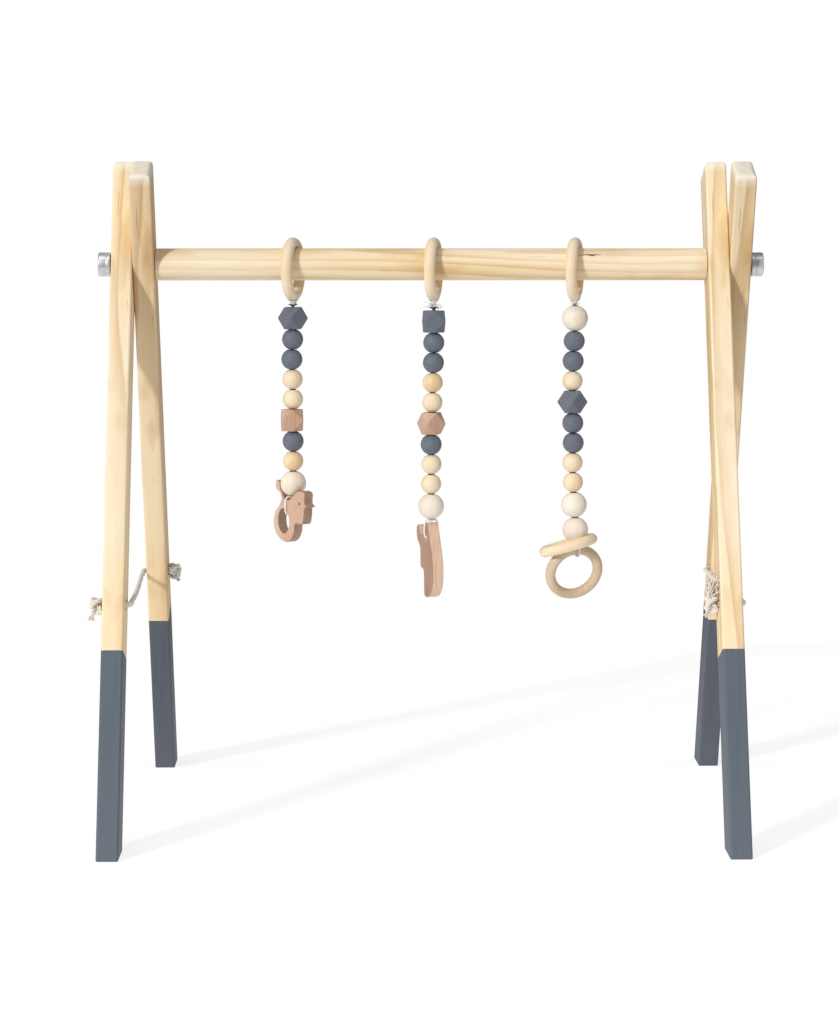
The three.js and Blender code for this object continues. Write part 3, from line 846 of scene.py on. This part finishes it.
def split_cutter():
    """A long thin wedge, widest part of the way along, as deep as a split in the bar's surface."""
    out = Vector((0, -math.cos(SPLIT_ANGLE), math.sin(SPLIT_ANGLE)))
    along = Vector((1, 0, 0))
    across = out.cross(along)
    surface = Vector((0, BAR.y, BAR.z)) + out * (BAR_RADIUS + MM)
    root = Vector((0, BAR.y, BAR.z)) + out * (BAR_RADIUS - SPLIT_DEPTH)
    shares = {  # of the full width, along X
        SPLIT_START: 0.25,
        SPLIT_WIDE - 6 * MM: 0.5,
        SPLIT_WIDE: 1.0,
        SPLIT_WIDE + 4 * MM: 0.45,
        SPLIT_END: 0.06,
    }
    made = bmesh.new()
    rows = []
    for x, share in shares.items():
        half = SPLIT_WIDTH / 2 * share
        sag = along * x - across * 0.4 * MM * math.sin(x * 600)
        corners = (surface + sag + across * half, surface + sag - across * half, root + sag)
        rows.append([made.verts.new(corner) for corner in corners])
    made.faces.new(rows[0])
    made.faces.new(rows[-1])
    for near, far in zip(rows, rows[1:]):
        for i in range(3):
            after = (i + 1) % 3
            made.faces.new((near[i], near[after], far[after], far[i]))
    mesh = mesh_from(made, "split")
    mesh.materials.append(MATERIALS["split"])
    return mesh


def make_bar():
    """The crossbar, with a hole for a threaded insert in each end and a split in its front."""
    node = "crossbar_dowel"
    half = extent(node).x / 2
    at = pointing(BAR, (1, 0, 0))
    profile = [
        (0, INSERT_HOLE_DEPTH - half),
        (INSERT_HOLE, INSERT_HOLE_DEPTH - half),
        (INSERT_HOLE, -half),
        *arc((BAR_RADIUS - BAR_EDGE, BAR_EDGE - half), BAR_EDGE, -90, 0, 4),
        *arc((BAR_RADIUS - BAR_EDGE, half - BAR_EDGE), BAR_EDGE, 0, 90, 4),
        (INSERT_HOLE, half),
        (INSERT_HOLE, half - INSERT_HOLE_DEPTH),
        (0, half - INSERT_HOLE_DEPTH),
    ]
    mesh = turned(node, profile, 96)
    mesh.materials.append(MATERIALS["bar_pine"])
    cutter = split_cutter()
    cutter.transform(at.inverted())
    placed(node, cut(mesh, cutter), at=at, flat_faces=True)


make_bar()


# ---- Rings ----


def make_ring(node, radius, tube, axis, material="maple"):
    """A smooth ring, its grain running across it."""
    turns = [2 * math.pi * i / 32 for i in range(33)]
    section = [(radius + tube * math.cos(a), RING_FULLNESS * tube * math.sin(a)) for a in turns]
    mesh = turned(node, section, 96)
    upright = Matrix.Rotation(math.pi / 2, 4, "X")
    mesh.transform(upright)
    at = pointing(middle(node), axis) @ upright.inverted()
    placed(node, mesh, material, at=at)


def make_rings():
    for toy in (1, 2, 3):
        axis = JOINTS[f"toy_{toy}_swing"]["axis"]
        make_ring(f"toy_{toy}_hanger_ring", HANGER_RADIUS, HANGER_TUBE, axis)
    lower = JOINTS["toy_3_lower_ring_turn"]["axis"]
    sloped = Vector((-math.sin(UPPER_RING_SLOPE), 0, math.cos(UPPER_RING_SLOPE)))
    upper = Matrix.Rotation(-UPPER_RING_TILT, 3, "X") @ sloped
    # The lower ring takes the darker maple, a painted shade.
    make_ring("toy_3_lower_ring", TEETHING_RADIUS, TEETHING_TUBE, lower, "shaded_maple")
    make_ring("toy_3_upper_ring", TEETHING_RADIUS, TEETHING_TUBE, upper)


make_rings()


# ---- Beads ----


def is_bead(node):
    return "_bead_" in node and not node.endswith("thread")


def paint_bore_shade(mesh, half):
    """Gives the flats round the bore and the bore itself the second, dark material: painted shade for the bore and
    for the gaps where beads touch.
    """
    for face in mesh.polygons:
        flat = abs(face.center.z) > half * 0.955
        inside = face.center.xy.length < BEAD_BORE * 1.3
        face.material_index = 1 if flat or inside else 0


def round_bead(node):
    """A ball with its ends cut flat and a bore along Z, whose rims are eased. The ends and the bore are painted
    dark, as shade between touching beads and inside the bore.
    """
    half = extent(node).z / 2
    radius = extent(node).y / 2
    flat_angle = math.degrees(math.asin(min(1.0, half / radius)))
    rim = 0.9 * MM
    flat_radius = math.sqrt(max(radius**2 - half**2, 0.0))
    profile = [
        (BEAD_BORE, rim - half),
        (BEAD_BORE + rim, -half),
        (flat_radius + 0.2 * MM, 0.15 * MM - half),
        *arc((0, 0), radius, -flat_angle + 6, flat_angle - 6, 28),
        (flat_radius + 0.2 * MM, half - 0.15 * MM),
        (BEAD_BORE + rim, half),
        (BEAD_BORE, half - rim),
        (BEAD_BORE, rim - half),
    ]
    mesh = turned(node, profile, 56)
    paint_bore_shade(mesh, half)
    return mesh


def facet_bead(node):
    """A cube with its corners cut off to the middles of its edges, softened and bored along Z."""
    half_height = extent(node).z / 2
    half = FACET_HALF
    made = bmesh.new()
    for a in (-1, 1):
        for b in (-1, 1):
            made.verts.new((a * half, b * half, 0))
            made.verts.new((a * half, 0, b * half_height))
            made.verts.new((0, a * half, b * half_height))
    bmesh.ops.convex_hull(made, input=made.verts)
    bmesh.ops.dissolve_limit(made, angle_limit=0.01, verts=made.verts, edges=made.edges)
    bmesh.ops.bevel(made, geom=made.edges[:], offset=0.7 * MM, segments=4, profile=0.6, affect="EDGES")
    mesh = mesh_from(made, node)
    rim = 0.9 * MM
    reach = half_height + 2 * rim
    profile = [
        (0, -reach),
        (BEAD_BORE + 3 * rim, -reach),
        (BEAD_BORE, rim - half_height),
        (BEAD_BORE, half_height - rim),
        (BEAD_BORE + 3 * rim, reach),
        (0, reach),
    ]
    mesh.materials.append(MATERIALS[SLOT_OF[node]])
    # The bore and its widened rims take the dark bore material, a painted shade.
    bore = turned("bore", profile, 32)
    bore.materials.append(MATERIALS["bore"])
    return cut(mesh, bore)


def make_bead(node, dice):
    facet = node in FACET_TURNS
    turn = math.radians(FACET_TURNS[node]) if facet else dice.uniform(0, 2 * math.pi)
    at = Matrix.Translation(middle(node)) @ Matrix.Rotation(turn, 4, "Z")
    if facet:
        placed(node, facet_bead(node), at=at, flat_faces=True)
    else:
        placed(node, round_bead(node), SLOT_OF[node], "bore", at=at, flat_faces=True)


def make_beads():
    dice = random.Random(3)
    for node in sorted(frame["nodes"]):
        if is_bead(node):
            make_bead(node, dice)


make_beads()


# ---- Teethers ----

# Squirrel: a ring of a body, its head and nose on the right and its tail up on the left.
SQUIRREL = [
    (-6, 0), (0.5, 0.6), (5.5, 4.2), (9.4, 10.6), (10.4, 17), (12.5, 18.8), (22.5, 19.2),
    (25.2, 27.5), (26.2, 34.2), (30.2, 36), (26.4, 38.8), (26.2, 48.4), (19.5, 50.2), (13, 48.4),
    (6.9, 44), (2.2, 40.8), (-3, 40.3), (-6.5, 42), (-8.9, 46), (-12.2, 50.5), (-13.8, 57),
    (-18, 58), (-19.2, 53), (-17.5, 49), (-12.4, 46.4), (-10.2, 42), (-13, 35.5), (-20, 28),
    (-23, 19), (-20.4, 9), (-13.5, 2.6),
]
SQUIRREL_HOLES = [(-6.9, 19.9, 8.8, 12), (18.4, 38, 1.1, 1.1)]

# Elephant: sitting up, its trunk raised on the left, its back on the right.
ELEPHANT = [
    (-6.5, 0), (4, 0.6), (10.8, 6.5), (14.6, 17), (14.6, 28), (12.4, 40), (8.4, 52), (4.8, 62),
    (1.4, 69.4), (-2.6, 71), (-6.8, 68.6), (-9.4, 62.5), (-13.2, 58.3), (-16.6, 59.8), (-18.2, 65),
    (-21.5, 67.4), (-25.4, 65.5), (-26.4, 59), (-24.6, 52.5), (-20.5, 49), (-17.6, 44), (-17.2, 30),
    (-15.5, 26.4), (-10.5, 25.2), (-8.6, 20), (-8, 6),
]
ELEPHANT_HOLES = [(-3, 55, 2.7, 2.7)]


def make_teether(node, outline, holes, turn, face_wood, edge_wood):
    """A plate put where its CAD node is: the middles of their boxes meet."""
    mesh = plate_mesh(node, outline, holes)
    # Broad faces and edges get two tones of beech: painted shade and painted light, for how the light falls on
    # them.
    for face in mesh.polygons:
        face.material_index = 0 if abs(face.normal.y) > 0.6 else 1
    turned_round = Matrix.Rotation(turn, 4, "Z")
    points = [turned_round @ vertex.co for vertex in mesh.vertices]
    low = Vector(min(point[i] for point in points) for i in range(3))
    high = Vector(max(point[i] for point in points) for i in range(3))
    at = Matrix.Translation(middle(node) - (low + high) / 2) @ turned_round
    placed(node, mesh, face_wood, edge_wood, at=at, flat_faces=True)


make_teether("toy_1_squirrel_teether", SQUIRREL, SQUIRREL_HOLES, SQUIRREL_TURN, "beech", "shaded_beech")
make_teether("toy_2_elephant_teether", ELEPHANT, ELEPHANT_HOLES, ELEPHANT_TURN, "shaded_beech", "lit_beech")


# ---- Threads ----

# The limb that each toy's thread goes round, in millimetres: x is its middle along X, drop is how far its
# middle is below the last bead, half is its half depth and half height, and shoulder is how far above it
# the thread bends in.
LIMBS = {
    1: {"x": -133.2, "drop": 9.7, "half": (5.5, 6.5), "shoulder": 1.6, "turn": SQUIRREL_TURN},
    2: {"x": 0.0, "drop": 10.3, "half": (5.5, 6.9), "shoulder": 2.1, "turn": ELEPHANT_TURN},
    3: {"x": 139.4, "drop": 7.2, "half": (4.75, 4.75), "shoulder": 0.0, "turn": math.radians(16)},
}
KNOT_SPREADS = {1: 4 * MM, 2: 10 * MM, 3: 5.5 * MM}
# Sizes of the dark piece below each top knot, a painted shade.
KNOT_SHADE_SIZES = {
    1: {"wide": 4.6 * MM, "height": 2.8 * MM},
    2: {"wide": 4.3 * MM, "height": 3.4 * MM},
    3: {"wide": 1.5 * MM, "height": 1.8 * MM},
}


def bead_number(node):
    return int(node.rsplit("_", 1)[1])


def beads_of(toy):
    """A toy's bead nodes from the top down."""
    found = [node for node in BODY_OF if node.startswith(f"toy_{toy}_") and is_bead(node)]
    return sorted(found, key=bead_number)


def limb_loop(limb, last_x, last_z):
    """The thread's way from the last bead's bore round a limb and back, in millimetres."""
    half_depth, half_height = limb["half"]
    z = last_z - limb["drop"]
    reach = half_depth + 1.4
    under = z - half_height - 1.1
    angle = limb["turn"]
    down = [(0.72, z + half_height + limb["shoulder"]), (1, z), (0.86, under + 1.1), (0.45, under)]
    up = [(-share, height) for share, height in reversed(down)]
    neck_x = last_x + 0.3 * (limb["x"] - last_x)
    loop = [(neck_x, 0, last_z - 0.7)]
    for share, height in down + up:
        across = share * reach
        loop.append((limb["x"] - math.sin(angle) * across, math.cos(angle) * across, height))
    loop.append((neck_x, 0, last_z - 1.2))
    return loop


def hitch(centre):
    """A small figure of eight just below a point."""
    loop = []
    for i in range(31):
        a = 2 * math.pi * i / 30
        offset = Vector((math.cos(a) * 1.1, math.sin(2 * a) * 0.7, math.sin(a) * 0.7 - 0.9))
        loop.append(centre + offset * MM)
    return loop


def make_bead_thread(toy):
    """A doubled thread down the middles of the beads and round the limb of the lowest piece."""
    node = f"toy_{toy}_bead_thread"
    beads = beads_of(toy)
    last = beads[-1]
    loop = limb_loop(LIMBS[toy], middle(last).x / MM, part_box(last)[0].z / MM)
    loop = smooth_path([Vector(point) * MM for point in loop], 8)
    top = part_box(node)[1].z - 1 * MM
    run = [Vector((middle(beads[0]).x, 0, top)), *(middle(name) for name in beads), loop[0]]
    lines = [(smooth_path(run, 6), THREAD_RADIUS)]
    lines += twisted(loop, 2, THREAD_RADIUS * 0.72, 5 * MM)
    lines += twisted(hitch(loop[0]), 2, THREAD_RADIUS * 0.55, 3 * MM)
    placed(node, cord_mesh(node, lines), "thread")


def make_hanging_loop(toy):
    """Five turns of thin thread round the lowest part of a hanger ring, gathered below it."""
    node = f"toy_{toy}_hanging_loop"
    hub = middle(f"toy_{toy}_hanger_ring")
    axis = Vector(JOINTS[f"toy_{toy}_swing"]["axis"])
    forward = Vector((axis.y, -axis.x, 0))
    down = Vector((0, 0, -1))
    radius = HANGER_TUBE + 0.55 * MM
    steps = 60
    lines = []
    for number in range(5):
        spread = math.radians(5.5 * (number - 2))
        circle = []
        for i in range(steps + 1):
            t = 2 * math.pi * i / steps
            gather = (1 + math.cos(t)) / 2  # 1 inside the ring, 0 below it
            turn = spread * (0.15 + 0.85 * gather) + math.radians(5) * math.sin(t)
            radial = forward * math.sin(turn) + down * math.cos(turn)
            inward = math.cos(t) * (radius + (1 - gather) * 0.5 * MM)
            circle.append(hub + radial * (HANGER_RADIUS - inward) + axis * math.sin(t) * radius)
        lines += twisted(circle, 2, 0.27 * MM, 2.2 * MM)
    placed(node, cord_mesh(node, lines), "thread")


def make_thread_knot(toy, dice):
    """The fluffy knot between a hanging loop and the first bead, with its ends teased out sideways."""
    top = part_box(f"toy_{toy}_hanging_loop")[0].z
    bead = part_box(f"toy_{toy}_bead_1")[1].z
    centre = middle(f"toy_{toy}_hanging_loop")
    centre = Vector((centre.x, centre.y, top - (top - bead) * 0.18))
    steps = 60
    loop = []
    for i in range(steps):
        over = trefoil(2 * math.pi * i / steps)
        loop.append(centre + Vector((over.y * 2.08, over.x * 1.12, over.z * 1.3)) * MM)
    lines = twisted(loop + loop[:1], 2, 0.36 * MM, 3 * MM)
    for way in (-1, 1):
        aim = Vector((way, -0.35, -0.12 * way - 0.1))
        lines += frayed(centre, aim, 16, KNOT_SPREADS[toy], 0.13 * MM, dice)
    piece = linked(f"toy_{toy}_top_knot", cord_mesh("top_knot", lines))
    piece.data.materials.append(MATERIALS["thread"])
    piece.data.shade_smooth()
    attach(piece, f"toy_{toy}_top_bead")


def make_knot_shade(toy, wide, height):
    """A small dark flared piece on top of the first bead, below the knot: painted shade between the knot and the
    bead.
    """
    bead = f"toy_{toy}_bead_1"
    centre = middle(bead)
    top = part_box(bead)[1].z
    narrow = 1.2 * MM
    profile = [
        (0, 0),
        (narrow * 1.6, 0),
        (narrow, height * 0.35),
        (wide, height * 0.85),
        (wide * 0.97, height),
        (0, height),
    ]
    piece = linked(f"toy_{toy}_bead_stop", turned("bead_stop", profile, 40))
    piece.location = (centre.x, centre.y, top - 0.1 * MM)
    piece.data.materials.append(MATERIALS["dark_knot_shade"])
    piece.data.shade_smooth()
    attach(piece, f"toy_{toy}_top_bead")


def make_threads():
    dice = random.Random(11)
    for toy in (1, 2, 3):
        make_bead_thread(toy)
        make_hanging_loop(toy)
        make_thread_knot(toy, dice)
        make_knot_shade(toy, **KNOT_SHADE_SIZES[toy])


make_threads()


# ---- Floor, backdrop and light ----

WHITE = (1, 1, 1, 1)
FLOOR_REACH = 1.0
FLOOR_GREY = (0.34, 0.34, 0.35, 1)
FLOOR_GLOW = 0.78  # lifts the grey to white, so that a shadow on it stays faint
BACKDROP = 1.0
AMBIENT = 0.2


def make_stage():
    """The bright floor that takes the shadows. It isn't part of the object."""
    floor_mesh = bpy.data.meshes.new("floor")
    far = FLOOR_REACH
    corners = [(-far, -far, 0), (far, -far, 0), (far, far, 0), (-far, far, 0)]
    floor_mesh.from_pydata(corners, [], [(0, 1, 2, 3)])
    floor = linked("floor", floor_mesh)
    graph = Graph("floor")
    graph.set(Base_Color=FLOOR_GREY, Roughness=0.9, Specular_IOR_Level=0.0)
    graph.set(Emission_Color=WHITE, Emission_Strength=FLOOR_GLOW)
    floor_mesh.materials.append(graph.material)


def make_world():
    """A white studio that is dimmer for the object than it looks, so that soft shade stays on it."""
    world = bpy.data.worlds.new("studio")
    world.use_nodes = True
    tree = world.node_tree
    seen = tree.nodes.new("ShaderNodeLightPath").outputs["Is Camera Ray"]
    strength = tree.nodes.new("ShaderNodeMapRange")
    strength.inputs["To Min"].default_value = AMBIENT
    strength.inputs["To Max"].default_value = BACKDROP
    tree.links.new(seen, strength.inputs["Value"])
    background = tree.nodes["Background"]
    background.inputs["Color"].default_value = WHITE
    tree.links.new(strength.outputs[0], background.inputs["Strength"])
    bpy.context.scene.world = world


def make_sun(name, strength, spread, towards):
    """A far light that shines along a direction."""
    light = bpy.data.lights.new(name, "SUN")
    light.energy = strength
    light.angle = math.radians(spread)
    lamp = linked(name, light)
    lamp.rotation_euler = Vector(towards).to_track_quat("-Z", "Y").to_euler()


def make_light():
    make_world()
    make_sun("key", 2.15, 6, (0.742, 1, -0.5))
    make_sun("right_fill", 0.45, 50, (-0.9, 0.4, -0.3))
    make_sun("left_fill", 0.6, 50, (1, 0.1, -0.2))
    make_sun("high_front", 0.6, 30, (0.1, 0.45, -1))


make_stage()
make_light()
bpy.context.scene.view_settings.view_transform = "Standard"
